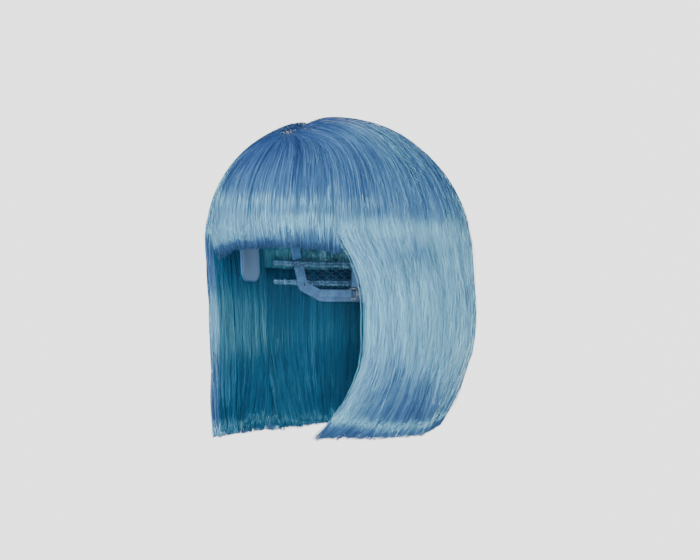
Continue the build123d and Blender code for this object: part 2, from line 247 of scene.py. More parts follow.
# Plain cotton cloth: fine square weave, soft and matt.
CLOTH = cloth_material("Cotton cloth, blue", [(0.3, "2c5580"), (0.9, "4b82b2")],
                       (0.0006, 0.0006), (0.7, 0.85), 0.00015, Sheen_Weight=0.2)
# Spun sewing thread: its twist makes each stitch glint in short lengths.
THREAD = cloth_material("Sewing thread, polyester, pale blue", [(0.3, "416b94"), (0.9, "6f9ac0")],
                        (0.4, 0.0005), (0.45, 0.6), 0.00006)
# Woven satin of a care label, left blank: long floats give it a low, even shine.
SATIN = cloth_material("Satin label, white", [(0.3, "d9dbdc"), (0.9, "f3f3f1")],
                       (0.0004, 0.0012), (0.28, 0.42), 0.00005)
# Moulded nylon of the hooks: a faint grain from the mould and small differences in how glossy it is.
PLASTIC = cloth_material("Moulded nylon, dark blue", [(0.3, "16263c"), (0.9, "22395a")],
                         (0.021, 0.017), (0.25, 0.42), 0.00003)


# ------------------------------------------------------------------ meshes
def tube_mesh(name, sets, marks):
    """One mesh of tubes with closed ends. Each set is an array: tube, ring along it, corner round it, and
    its point. marks holds each set's texture positions."""
    loops, starts, first_vertex, first_loop = [], [], 0, 0
    for rings in sets:
        n_tubes, m, c, _ = rings.shape
        index = first_vertex + np.arange(n_tubes * m * c).reshape(n_tubes, m, c)
        a, b = index, np.roll(index, -1, 2)
        quads = np.stack([a[:, :-1], b[:, :-1], b[:, 1:], a[:, 1:]], -1).reshape(-1, 4)
        caps = np.concatenate([index[:, 0, ::-1], index[:, -1, :]])
        for faces in (quads, caps):
            loops.append(faces.ravel())
            starts.append(first_loop + np.arange(len(faces)) * faces.shape[1])
            first_loop += faces.size
        first_vertex += index.size
    loops, starts = np.concatenate(loops), np.concatenate(starts)
    points = np.concatenate([rings.reshape(-1, 3) for rings in sets])
    uv = np.concatenate([mark.reshape(-1, 2) for mark in marks])
    mesh = bpy.data.meshes.new(name)
    mesh.vertices.add(len(points))
    mesh.vertices.foreach_set("co", points.astype(np.float32).ravel())
    mesh.loops.add(len(loops))
    mesh.loops.foreach_set("vertex_index", loops.astype(np.int32))
    mesh.polygons.add(len(starts))
    mesh.polygons.foreach_set("loop_start", starts.astype(np.int32))
    mesh.polygons.foreach_set("use_smooth", np.ones(len(starts), bool))
    layer = mesh.uv_layers.new(name="fibre")
    layer.data.foreach_set("uv", uv[loops].astype(np.float32).ravel())
    mesh.update(calc_edges=True)
    mesh.validate()
    piece = bpy.data.objects.new(name, mesh)
    bpy.context.scene.collection.objects.link(piece)
    return piece


def strand_rings(path, normal, thick, roll, corners=3):
    """Tubes with that many corners along the paths; smooth shading rounds them."""
    tangent = np.gradient(path, axis=1)
    tangent /= np.linalg.norm(tangent, axis=-1, keepdims=True) + 1e-12
    side = np.cross(normal, tangent)
    side /= np.linalg.norm(side, axis=-1, keepdims=True) + 1e-12
    out = np.cross(tangent, side)
    made = []
    for k in range(corners):
        a = (roll + k * 2 * pi / corners)[:, None, None]
        made.append(path + thick[..., None] * (np.cos(a) * side + np.sin(a) * out))
    return np.stack(made, 2)


# ------------------------------------------------------------------ hair
FRONT_EDGE_Z, FRONT_EDGE = smooth_table(
    [(0.08, 42.0), (0.03, 42.0), (0.005, 43.0), (-0.014, 49.0), (-0.038, 53.5), (-0.066, 54.5),
     (-0.094, 53.5), (-0.118, 48.0), (-0.138, 40.0), (-0.150, 32.0), (-0.16, 27.0)])
SIDE_FRONT, SIDE_BACK = 54.0, 132.0


def side_turn(rest, z, sweep):
    """Ring angle, in degrees, of a side strand at height z. The front edge opens at the cheek and then
    sweeps in."""
    edge = np.interp(z, FRONT_EDGE_Z, FRONT_EDGE)
    edge = np.where(z < -0.08, 54.0 + (edge - 54.0) * sweep, edge)
    share = np.clip((SIDE_BACK - rest) / (SIDE_BACK - SIDE_FRONT), 0, 1)
    return rest + (edge - SIDE_FRONT) * np.where(z < -0.06, share ** 0.75, share)


def draw_locks(count, turn_range, depth_range, hem, ragged, spread):
    """Shares strands out among locks, and gives each its ring angle, depth and end."""
    groups = max(2, count // PER_LOCK)
    lock = np.sort(rng.integers(0, groups, count))
    centre = (np.linspace(*turn_range, groups) + rng.normal(0, 0.6, groups))[lock]
    lock_depth = depth_range[0] + (depth_range[1] - depth_range[0]) * rng.random(groups) ** 2.2
    turn = centre + rng.normal(0, 0.35 * spread, count)
    depth = np.clip(lock_depth[lock] + rng.normal(0, 0.0005, count), *depth_range)
    # The fringe's edge drops a little at its two ends. The other hems rise towards the back.
    is_fringe = hem > -0.05
    end = hem - 0.0047 * np.abs(centre / 42) ** 3 if is_fringe else hem_at(centre, hem)
    end = end + rng.normal(0, ragged, groups)[lock] + np.abs(rng.normal(0, ragged * 0.6, count))
    tone = np.clip(rng.random(groups)[lock] * 0.6 + rng.random(count) * 0.4, 0, 1)
    # Neighbouring locks swing together, in tufts one to ten degrees wide.
    tuft = (3.2 * np.sin(centre * 1.9 + turn_range[0]) + 2.2 * np.sin(centre * 4.7 + 2)
            + 3.4 * np.sin(centre * 0.63))
    phase = (rng.random((groups, 4)) * 2 * pi)[lock]
    phase[:, 2] = tuft + 0.2 * phase[:, 2]
    return centre, turn, depth, end, tone, phase


def hem_at(turn, hem):
    """Height where a strand ends: the hem rises from the sides towards the back."""
    return hem + 0.0095 * steps(75, 150, np.abs(np.where(turn > 180, 360 - turn, turn)))


def down_curtain(centre, turn, depth, end, top_z, count_down, sweep, side, fringe=False):
    """Points of strands from height top_z down to their ends. A lock's strands draw together as they fall."""
    v = np.linspace(0, 1, count_down + 1)[None] ** rng.uniform(0.8, 1.2, (len(turn), 1))
    z = top_z + (end[:, None] - top_z) * v
    close = 1 - 0.3 * steps(0.3, 1.0, v)
    now = centre[:, None] + (turn - centre)[:, None] * close
    angle = np.radians(now if fringe else side_turn(now, z, sweep)) * side
    return place(angle, ring(z, depth[:, None], angle % (2 * pi)), z)


def finish_locks(path, depth, tone, phase, thick):
    """Adds the slow waves that a lock shares and the small ones of each strand, and the strands' taper."""
    count = len(path)
    run = np.cumsum(np.linalg.norm(np.diff(path, axis=1), axis=-1), 1)
    length = np.concatenate([np.zeros((count, 1)), run], 1)
    normal = surface_normal(path, depth[:, None])
    across = np.cross(normal, np.gradient(path, axis=1))
    across /= np.linalg.norm(across, axis=-1, keepdims=True) + 1e-12
    grow = steps(0.02, 0.16, length)
    wave = (0.0007 * np.sin(length * 34 + phase[:, :1]) + 0.0003 * np.sin(length * 78 + phase[:, 1:2])) * grow
    swell = 0.0012 * np.sin(length * 43 + phase[:, 2:3]) * steps(0.02, 0.08, length)
    loose = np.where(rng.random((count, 1)) < 0.035, 4.0, 1.0)
    own = rng.normal(0, 0.00045, (count, 1)) * loose
    own = own * np.sin(length * 60 + rng.random((count, 1)) * 6.3) * grow
    lift = rng.normal(0, 0.0004, (count, 1)) * np.sin(length * 52 + rng.random((count, 1)) * 6.3) * grow
    lift = lift + (loose - 1) * 0.0004 * grow
    path = path + across * (wave + own)[..., None] + normal * (swell + lift - 0.0009)[..., None]
    share_along = np.linspace(0, 1, path.shape[1])
    taper = 1 - 0.55 * steps(0.9, 1.0, share_along)[None] - 0.3 * (1 - steps(0, 0.08, length))
    width = thick * (0.75 + 0.5 * rng.random(count))[:, None] * taper * np.where(loose > 1, 0.6, 1)
    tone = np.where(loose[:, 0] > 1, 0.95, tone)
    return path, normal, width, tone, length


def crown_locks(count, turn_range, depth_range, root_range, hem, side=1, sweep=1.0, upper=14, lower=14,
                spread=2.2, ragged=0.0007, thick=0.00027, fringe=False):
    """Strands that grow from the parting, over the dome and down. Angles are mirrored when side is -1."""
    centre, turn, depth, end, tone, phase = draw_locks(count, turn_range, depth_range, hem, ragged, spread)
    root = np.interp(centre, turn_range, root_range) + rng.normal(0, 0.035, count)
    # Over the dome: from the parting to a ring a little above the widest level, drawn in the view from above.
    join_z = rng.uniform(0.03, 0.05, count)
    start = PART_FRONT + (PART_BACK - PART_FRONT) * np.clip(root, 0, 1.05)[:, None]
    start = start + rng.normal(0, 0.0012, (count, 2))
    start[:, 1] /= RATIO
    top_turn = turn if fringe else side_turn(turn, join_z, sweep)
    arrive = np.radians(top_turn) * side
    goal = np.stack([np.sin(arrive), -np.cos(arrive)], -1) * ring(join_z, depth)[:, None]
    u = np.linspace(0, 1, upper)[None, :, None] ** rng.uniform(0.8, 1.25, (count, 1, 1))
    u = 0.55 * u + 0.45 * np.sin(u * pi / 2)
    b0, b3 = start[:, None], goal[:, None]
    b1, b2 = b0 + 0.34 * (b3 - b0), b3 * 0.70
    plan = (1 - u) ** 3 * b0 + 3 * u * (1 - u) ** 2 * b1 + 3 * u * u * (1 - u) * b2 + u ** 3 * b3
    deep = depth[:, None] + (0.0105 - depth[:, None]) * (1 - steps(0, 0.16, u[..., 0]))
    high = dome_z(np.linalg.norm(plan, axis=-1), deep)
    dome = lean(np.stack([plan[..., 0], plan[..., 1] * RATIO, high], -1))
    fall = down_curtain(centre, turn, depth, end, join_z[:, None], lower, sweep, side, fringe)
    path = np.concatenate([dome, fall[:, 1:]], 1)
    if fringe:
        # It curves in towards the forehead, from a height that differs from tuft to tuft.
        z = path[..., 2] + 0.0022 * np.sin(phase[:, 2:3]) + rng.normal(0, 0.0012, (count, 1))
        path[..., :2] *= 1 - (0.040 * steps(0.052, -0.004, z) + 0.046 * steps(0.016, -0.014, z))[..., None]
    return finish_locks(path, depth, tone, phase, thick)


def weft_locks(count, turn_range, depth_range, top_z, hem, side=1, lower=16, spread=2.2, ragged=0.002,
               thick=0.00036):
    """Strands that hang from a weft track at height top_z."""
    centre, turn, depth, end, tone, phase = draw_locks(count, turn_range, depth_range, hem, ragged, spread)
    fall = down_curtain(centre, turn, depth, end, top_z, lower, 1.0, side)
    return finish_locks(fall, depth, tone, phase, thick)


def hair_piece(name, made, body, bend, replaces=(), fibre=FIBRE, per_piece=1100):
    """Turns strands into pieces of up to per_piece strands each. A piece with no bend is hung on its body;
    one with a bend is left unhung, and the bend is not used otherwise.
    """
    path, normal, width, tone, length = made
    chunks = max(1, -(-len(path) // per_piece))
    for k, pick in enumerate(np.array_split(np.arange(len(path)), chunks)):
        rings = strand_rings(path[pick], normal[pick], width[pick], rng.random(len(pick)) * 2 * pi)
        uv = np.stack([np.broadcast_to(tone[pick][:, None, None], rings.shape[:3]),
                       np.broadcast_to(length[pick][..., None], rings.shape[:3])], -1)
        piece = tube_mesh(f"{name}_{k + 1}" if chunks > 1 else name, [rings], [uv])
        piece.data.materials.append(fibre)
        if bend is None:
            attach(piece, body)
        else:
            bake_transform(piece)
        if k == 0:
            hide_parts(*replaces)


def n(count):
    return int(count * (1.0))


fringe_bend = ((0, -0.078, 0.078), (0, -0.096, 0.036))
hair_piece("fringe_hair_top",
           crown_locks(n(2600), (-43, 43), TOP_LAYER, (0.02, 0.10), HEM_FRINGE, fringe=True,
                       upper=17, lower=7, ragged=0.0006),
           "fringe", fringe_bend, ["fringe_hair_outer"])
# The under layers take the darker copy of the fibre colour: painted shade.
hair_piece("fringe_hair_under",
           crown_locks(n(900), (-42, 42), UNDER_LAYER, (0.02, 0.12), HEM_FRINGE_UNDER, fringe=True,
                       upper=17, lower=7),
           "fringe", fringe_bend, ["fringe_hair_inner"], FIBRE_SHADED)
for word, side in (("left", 1), ("right", -1)):
    bend = ((side * 0.078, 0, 0.058), (side * 0.1, 0, 0.002))
    sweep = 1.0 if side > 0 else 0.8
    hair_piece(f"side_hair_{word}_top",
               crown_locks(n(3600), (SIDE_FRONT, SIDE_BACK), TOP_LAYER, (0.0, 0.9), HEM_TOP, side, sweep),
               f"side_hair_{word}", bend, [f"side_hair_{word}_outer"])
    hair_piece(f"side_hair_{word}_under",
               crown_locks(n(1300), (55 if side > 0 else 52.5, SIDE_BACK), UNDER_LAYER, (0.0, 0.9), HEM_UNDER,
                           side, sweep),
               f"side_hair_{word}", bend, [f"side_hair_{word}_inner"], FIBRE_SHADED)
back_bend = ((0, 0.09, 0.058), (0, 0.11, 0.002))
behind = (SIDE_BACK, 360 - SIDE_BACK)
hair_piece("back_hair_top", crown_locks(n(3000), behind, TOP_LAYER, (0.9, 1.0), HEM_TOP, lower=15),
           "back_hair", back_bend, ["back_hair_outer"])
hair_piece("back_hair_under", crown_locks(n(900), behind, UNDER_LAYER, (0.9, 1.0), HEM_UNDER),
           "back_hair", back_bend, ["back_hair_inner"], FIBRE_SHADED)

# Fixed layers under the moving ones, sewn to the lowest tracks, in the darker fibre colour that paints their
# shade.
hair_piece("nape_hair", weft_locks(n(2700), (98, 262), FIXED_LAYER, -0.012, HEM_NAPE, spread=4.5),
           "cap", None, ["nape_hair"], FIBRE_SHADED)
for word, side in (("left", 1), ("right", -1)):
    hair_piece(f"temple_hair_{word}",
               weft_locks(n(900), (57, 97), FIXED_LAYER, 0.016, HEM_TEMPLE, side, spread=3.5),
               "cap", None, [f"temple_hair_{word}"], FIBRE_SHADED)


def shell(name, top_z, low_z, outer, inner, around=96, down=24):
    """Closed dome-shaped shell between two depths under the hair's surface, from the crown down to a rim."""
    z = low_z + (top_z - low_z) * np.sin(np.linspace(pi / 2, 0, down))
    turn = np.linspace(0, 2 * pi, around, endpoint=False)
    out_z = z * (TALL - outer) / top_z
    rows = [place(turn, np.full(around, float(ring(np.array(h), outer))), np.full(around, h)) for h in out_z]
    in_z = (z * (TALL - inner) / top_z)[::-1]
    rows += [place(turn, np.full(around, float(ring(np.array(h), inner))), np.full(around, h)) for h in in_z]
    return tube_mesh(name, [np.array(rows)[None]], [np.zeros((len(rows) * around, 2))])


# A closed sheet under the crown strands, in the darker fibre colour: painted shade that shows through the
# gaps between strands.
crown = shell("crown_under_hair_shaded", TALL, 0.032, 0.0085, 0.0103)
crown.data.materials.append(FIBRE_SHADED)
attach(crown, "cap")
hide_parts("crown_hair_left", "crown_hair_right")

# ------------------------------------------------------------------ cap
CAP_HALF, CAP_TALL = 0.080, 0.094  # outside of the net


def cap_ring(out, z):
    """Side-to-side radius of the cap at height z, that far outside its net."""
    dome = (CAP_HALF + out) * np.sqrt(np.clip(1 - (np.clip(z, 0, None) / (CAP_TALL + out)) ** 2, 0, 1))
    return dome + 0.05 * np.minimum(z, 0)


def cap_place(turn, out, z):
    rho = cap_ring(out, z)
    return np.stack(np.broadcast_arrays(rho * np.sin(turn), -RATIO * rho * np.cos(turn), z), -1)


def resample(points, count):
    """The same polyline with evenly spaced points."""
    run = np.concatenate([[0], np.cumsum(np.linalg.norm(np.diff(points, axis=0), axis=1))])
    even = np.linspace(0, run[-1], count)
    return np.stack([np.interp(even, run, points[:, k]) for k in range(points.shape[1])], -1)


def rim_line():
    """Ring angle and height along the rim of the cap's left half, from the forehead to the nape."""
    corners = np.array([(-0.0806, 0.046), (-0.078, 0.045), (-0.062, 0.040), (-0.042, 0.010), (0.028, 0.010),
                        (0.036, -0.030), (0.054, -0.040), (0.0898, -0.040)])
    fine = resample(corners, 3000)
    kernel = np.hanning(120) / np.hanning(120).sum()
    held = np.concatenate([np.repeat(fine[:1], 60, 0), fine, np.repeat(fine[-1:], 59, 0)])
    y, z = [np.convolve(held[:, k], kernel, "valid") for k in (0, 1)]
    turn = np.arccos(np.clip(-y / (RATIO * cap_ring(0, z)), -1, 1))
    turn[0], turn[-1] = 0, pi
    spots = resample(np.column_stack([cap_place(turn, 0, z), turn, z]), 400)
    return spots[:, 3], spots[:, 4]


RIM_TURN, RIM_Z = rim_line()


def rim_surface(first, last, side, count):
    """Surface that follows the rim between two front-to-back positions. Across it is the distance up from
    the rim."""
    y = -RATIO * cap_ring(0, RIM_Z) * np.cos(RIM_TURN)
    pick = np.where((y >= first) & (y <= last))[0]
    pick = pick[np.linspace(0, len(pick) - 1, count).astype(int)]
    turn, z = RIM_TURN[pick], RIM_Z[pick]
    if side == 0:  # right round, from the wearer's right to the left
        flip = slice(None, 0, -1) if first < -0.07 else slice(None, None)
        turn, z = np.concatenate([-turn[flip], turn]), np.concatenate([z[flip], z])
        if first > -0.07:
            turn, z = turn[count:], z[count:]
            turn = np.concatenate([turn, 2 * pi - turn[-2::-1]])
            z = np.concatenate([z, z[-2::-1]])
    turn = turn * (side or 1)
    spot = cap_place(turn, 0, z)
    tangent = np.gradient(spot, axis=0)
    outward = np.stack([spot[:, 0], spot[:, 1] / RATIO ** 2, np.clip(z, 0, None) * 0.7], -1)
    up = np.cross(outward, tangent)
    up /= np.linalg.norm(up, axis=1, keepdims=True)
    up *= np.sign(up[len(up) // 2, 2] or 1)

    def surface(v, out):
        moved = spot[:, None] + up[:, None] * np.asarray(v)[None, :, None]
        turn_there = np.arctan2(moved[..., 0], -moved[..., 1] / RATIO)
        return cap_place(turn_there, np.asarray(out)[None], moved[..., 2])
    return surface


def slice_surface(start, stop, count, across_cap):
    """Surface of a tape that runs over the cap, side to side or front to back. Across it is the sideways
    position. start and stop are angles from straight up, and past a right angle it runs on down."""
    a = np.radians(np.linspace(start, stop, count))[:, None]

    def surface(v, out):
        v, out = np.asarray(v)[None], np.asarray(out)[None]
        half, ratio = CAP_HALF + out, (RATIO if across_cap else 1.0)
        shrink = np.sqrt(1 - (v / (ratio * half)) ** 2)
        z = np.where(np.abs(a) < pi / 2, (CAP_TALL + out) * np.cos(a) * shrink,
                     -(np.abs(a) - pi / 2) * CAP_HALF)
        along = np.where(np.abs(a) < pi / 2, half * np.sin(a) * shrink,
                         np.sqrt(np.clip(cap_ring(out, z) ** 2 - (v / ratio) ** 2, 0, 1)) * np.sign(a))
        side = v + 0 * a
        return np.stack([along, side, z], -1) if across_cap else np.stack([side, RATIO * along, z], -1)
    return surface


def ribbon(surface, v0, v1, mid, thick, columns=9):
    """Closed strip with fuller, rounded edges, between two positions across a surface."""
    v = np.linspace(v0, v1, columns)
    edge = np.minimum(v - v0, v1 - v) / (v1 - v0)
    half = thick / 2 * (0.4 + 0.6 * steps(0, 0.08, edge)) * (1 + 0.2 * np.exp(-((edge - 0.12) / 0.05) ** 2))
    rings = np.concatenate([surface(v, mid + half), surface(v[::-1], mid - half[::-1])], 1)
    centre = rings.mean(1)
    run = np.concatenate([[0], np.cumsum(np.linalg.norm(np.diff(centre, axis=0), axis=1))])
    uv = np.stack(np.broadcast_arrays(run[:, None], np.concatenate([v, v[::-1]])[None]), -1)
    return rings[None], uv[None]


def tubes(paths, thick, corners=3, tone=0.5):
    """Round threads along the paths, with marks for a fibre or a cloth finish."""
    paths = np.asarray(paths)
    normal = np.broadcast_to(np.array([0.21, 0.13, 0.97]), paths.shape)
    width = np.broadcast_to(thick, paths.shape[:2])
    rings = strand_rings(paths, normal, width, np.zeros(len(paths)), corners)
    run = np.cumsum(np.linalg.norm(np.diff(paths, axis=1, prepend=paths[:, :1]), axis=-1), 1) + 0.1
    tones = np.broadcast_to(np.asarray(tone).reshape(-1, 1, 1), rings.shape[:3])
    return rings, np.stack(np.broadcast_arrays(tones, run[..., None]), -1)


def dashes(line, pitch=0.003, long=0.0021, thick=0.00024):
    """Running stitches along a line: each a short thread that dips into the cloth at both ends."""
    run = np.concatenate([[0], np.cumsum(np.linalg.norm(np.diff(line, axis=0), axis=1))])
    starts = np.arange(pitch / 2, run[-1] - long, pitch)
    at = starts[:, None] + long * np.array([0, 0.3, 0.7, 1.0])[None]
    paths = np.stack([np.interp(at, run, line[:, k]) for k in range(3)], -1)
    return tubes(paths, thick * np.array([[0.4, 1, 1, 0.4]]))


def put(name, parts, finish, body, replaces=(), bend=None):
    """Makes one piece out of tubes and strips and gives it its finish. It is hung on its body unless a bend
    is given; the bend is not used otherwise.
    """
    piece = tube_mesh(name, *zip(*parts))
    piece.data.materials.append(finish)
    if bend is None:
        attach(piece, body)
    else:
        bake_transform(piece)
    if replaces:
        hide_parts(*replaces)
    return piece


# Knitted stretch net: every thread swings to its neighbours in turn, which leaves six-sided holes.
meridian = np.concatenate([CAP_TALL * np.cos(np.radians(np.linspace(17, 90, 60))),
                           np.linspace(-0.002, -0.045, 20)])
meridian_run = np.concatenate([[0], np.cumsum(np.hypot(np.diff(cap_ring(0, meridian)), np.diff(meridian)))])
net_threads = 132
for word, first, nodes in (("front", -pi / 2, "cap_net_front"), ("back", pi / 2, "cap_net_back")):
    turn = first + (np.arange(net_threads // 2) + 0.5) * 2 * pi / net_threads
    folded = np.abs((turn + pi) % (2 * pi) - pi)
    low = np.interp(folded, RIM_TURN, RIM_Z) + 0.001
    s = np.linspace(0, 1, 150)[None] * np.interp(-low, -meridian, meridian_run)[:, None]
    z = np.interp(s, meridian_run, meridian)
    swing = np.clip(1.7 * np.sin(s * 2 * pi / 0.0062), -1, 1) * (-1) ** np.arange(len(turn))[:, None]
    paths = cap_place(turn[:, None] + swing * 0.46 * 2 * pi / net_threads, -0.0004, z)
    put(f"net_{word}_threads", [tubes(paths, 0.00024)], NET, "cap", [nodes])

# Ribbons sewn inside the net: along the rim, over the crown and down the back.
taped = {"front_band": (rim_surface(-0.1, -0.036, 0, 60), 0.0004, 0.0100),
         "nape_band": (rim_surface(0.032, 0.1, 0, 80), 0.0004, 0.0100),
         "side_band_left": (rim_surface(-0.0355, 0.0315, 1, 60), 0.0004, 0.0100),
         "side_band_right": (rim_surface(-0.0355, 0.0315, -1, 60), 0.0004, 0.0100),
         "cross_tape": (slice_surface(-77.2, 77.2, 90, True), -0.005, 0.005),
         "centre_tape": (slice_surface(4.0, 111.0, 80, False), -0.005, 0.005),
         "back_tape_left": (slice_surface(4.5, 111.0, 80, False), 0.034, 0.044),
         "back_tape_right": (slice_surface(4.5, 111.0, 80, False), -0.044, -0.034)}
for node, (surface, v0, v1) in taped.items():
    elastic = node == "nape_band"
    put(f"{node}_ribbon", [ribbon(surface, v0, v1, -0.0015, 0.0009)], ELASTIC if elastic else RIBBON, "cap",
        [node])
    lines = [surface(np.array([v]), np.array([-0.00213]))[:, 0] for v in (v0 + 0.0013, v1 - 0.0013)]
    put(f"{node}_stitches", [dashes(line) for line in lines], THREAD, "cap")

# Weft tracks: fibre folded over a cord and stitched into a strip, one bundle beside the next.
tracks = {f"back_track_{k + 1}": [(-0.026 + 0.016 * k, 98, 262)] for k in range(6)}
tracks["fringe_track"] = [(0.050, -32, 32)]
tracks["side_track_left"] = [(0.016, 58, 96), (0.032, 58, 96)]
tracks["side_track_right"] = [(0.016, 264, 302), (0.032, 264, 302)]
tracks["crown_tracks"] = [(0.068, 0, 360), (0.080, 0, 360)]
for node, spans in tracks.items():
    bundles, seams = [], []
    for low, t0, t1 in spans:
        steps_along = int(radians(t1 - t0) * cap_ring(0, low) * 1.08 / 0.0015)
        turn = np.radians(np.linspace(t0 + 0.4, t1 - 0.4, steps_along))
        heights = low + np.array([0.0, 0.0014, 0.0036, 0.005])[None] + rng.normal(0, 0.0001, (len(turn), 1))
        paths = cap_place(turn[:, None], np.array([[0.0006, 0.0012, 0.0012, 0.0007]]), heights)
        bundles.append(tubes(paths, 0.00062 * np.array([[0.7, 1.1, 0.9, 0.8]]), 5, rng.random(len(turn))))
        fine = np.radians(np.linspace(t0, t1, steps_along * 2))
        for high, out in ((0.0013, 0.0002), (0.0036, 0.0002), (0.0025, 0.0020)):
            wiggle = low + high + 0.0005 * (-1.0) ** np.arange(len(fine))
            seams.append(tubes(cap_place(fine, out, wiggle)[None], 0.0002))
    put(f"{node}_bundles", bundles, FIBRE, "cap", [node])
    put(f"{node}_seams", seams, THREAD, "cap")

# Cloth patch at the crown, on the outside of the net.
rho = np.concatenate([np.linspace(0.0004, 0.0258, 14), np.linspace(0.0258, 0.0004, 14)])
out = np.concatenate([np.full(14, 0.0012), np.full(14, 0.0003)])
spin = np.linspace(0, 2 * pi, 72, endpoint=False)
heights = (CAP_TALL + out) * np.sqrt(1 - (rho / (CAP_HALF + out)) ** 2)
rows = np.stack(np.broadcast_arrays(rho[:, None] * np.sin(spin), -RATIO * rho[:, None] * np.cos(spin),
                                    heights[:, None]), -1)
put("crown_patch_cloth", [(rows[None], rows[None, ..., :2])], CLOTH, "cap", ["crown_patch"])
round_line, seam_reach = np.linspace(0, 2 * pi, 200), 0.024
high = CAP_TALL * sqrt(1 - (seam_reach / CAP_HALF) ** 2)
patch_seam = np.stack([seam_reach * np.sin(round_line), -RATIO * seam_reach * np.cos(round_line),
                       np.full(200, high + 0.0001)], -1)
put("crown_patch_stitches", [dashes(patch_seam)], THREAD, "cap")


def ear_tab_surface(side, inset=0.0):
    """Surface of an ear tab, with its rounded outline. Across it runs from 0 in front to 1 behind."""
    tall, half, corner = 0.034 - 2 * inset, 0.015 - inset, 0.009 - inset
    z = 0.0096 - inset - tall * (1 - np.cos(np.linspace(0, pi, 26))) / 2
    into = np.clip(corner - np.minimum(0.0096 - inset - z, z - (0.0096 - inset - tall)), 0, corner)
    wide = half - corner + np.sqrt(corner ** 2 - into ** 2)

    def surface(v, out):
        y = -0.023 + (np.asarray(v)[None] - 0.5) * 2 * wide[:, None]
        rho = cap_ring(np.asarray(out)[None], z[:, None])
        return np.stack([side * np.sqrt(rho ** 2 - (y / RATIO) ** 2), y, z[:, None] + 0 * y], -1)
    return surface


for word, side in (("left", 1), ("right", -1)):
    surface, inner = ear_tab_surface(side), ear_tab_surface(side, 0.003)
    edge = np.array([-0.001])
    both = [surface(np.array([v]), edge)[:, 0] for v in (0.0, 1.0)]
    piping = np.concatenate([both[0], both[1][::-1], both[0][:1]])
    put(f"ear_tab_{word}_cloth", [ribbon(surface, 0.0, 1.0, -0.001, 0.0017, 13)], CLOTH, f"ear_tab_{word}",
        [f"ear_tab_{word}"])
    put(f"ear_tab_{word}_piping", [tubes(piping[None], 0.00095, 7)], RIBBON, f"ear_tab_{word}")
    seams = []
    for out in (-0.0001, -0.0020):
        both = [inner(np.array([v]), np.array([out]))[:, 0] for v in (0.0, 1.0)]
        seams.append(dashes(np.concatenate([both[0], both[1][::-1], both[0][:1]])))
    put(f"ear_tab_{word}_stitches", seams, THREAD, f"ear_tab_{word}")

# ------------------------------------------------------------------ nape adjusters and label
base = cap_ring(-0.002, -0.0325)
bend_radius = base / RATIO * (cos(radians(20)) ** 2 + (RATIO * sin(radians(20))) ** 2) ** 1.5
along = np.array([base * cos(radians(20)), -RATIO * base * sin(radians(20)), 0])
along /= np.linalg.norm(along)
inward = np.array([along[1], -along[0], 0])
middle = np.array([base * sin(radians(20)), RATIO * base * cos(radians(20)), -0.0325]) + bend_radius * inward


def at_nape(s, h, r, side):
    """Point by the nape band, from its distance along it, height and rise from it, in millimetres."""
    s, h, r = np.broadcast_arrays(s, h, r)
    turn, reach = s / 1000 / bend_radius, bend_radius - r / 1000
    spot = middle - (reach * np.cos(turn))[..., None] * inward + (reach * np.sin(turn))[..., None] * along
    spot = spot + (h / 1000)[..., None] * np.array([0, 0, 1.0])
    return spot * np.array([side, 1, 1])


def blunt(x):
    """Turns a circle's sine and cosine into those of a square with rounded corners."""
    return np.sign(x) * np.abs(x) ** 0.6


def folded_strip(path, wide, thick, spot, count=40):
    """Flat strip that follows a folded path. spot turns a point of the path and a sideways position into a
    place."""
    line = resample(np.array(path, float), count)
    for _ in range(3):
        line[1:-1] = (line[:-2] + line[1:-1] * 2 + line[2:]) / 4
    ahead = np.gradient(line, axis=0)
    ahead /= np.linalg.norm(ahead, axis=1, keepdims=True)
    normal = np.stack([-ahead[:, 1], ahead[:, 0]], -1)[:, None] * thick / 2
    w = np.linspace(-wide / 2, wide / 2, 9)
    soft = (0.5 + 0.5 * steps(0, 0.1, 0.5 - np.abs(np.linspace(-0.5, 0.5, 9))))[None, :, None]
    top, under = line[:, None] + normal * soft, line[:, None] - normal * soft
    rings = np.concatenate([spot(top[..., 0], w[None], top[..., 1]),
                            spot(under[..., 0], w[None, ::-1], under[..., 1])], 1)
    run = np.concatenate([[0], np.cumsum(np.linalg.norm(np.diff(line, axis=0), axis=1))]) / 1000
    uv = np.stack(np.broadcast_arrays(run[:, None], np.concatenate([w, w[::-1]])[None] / 1000), -1)
    return rings[None], uv[None]


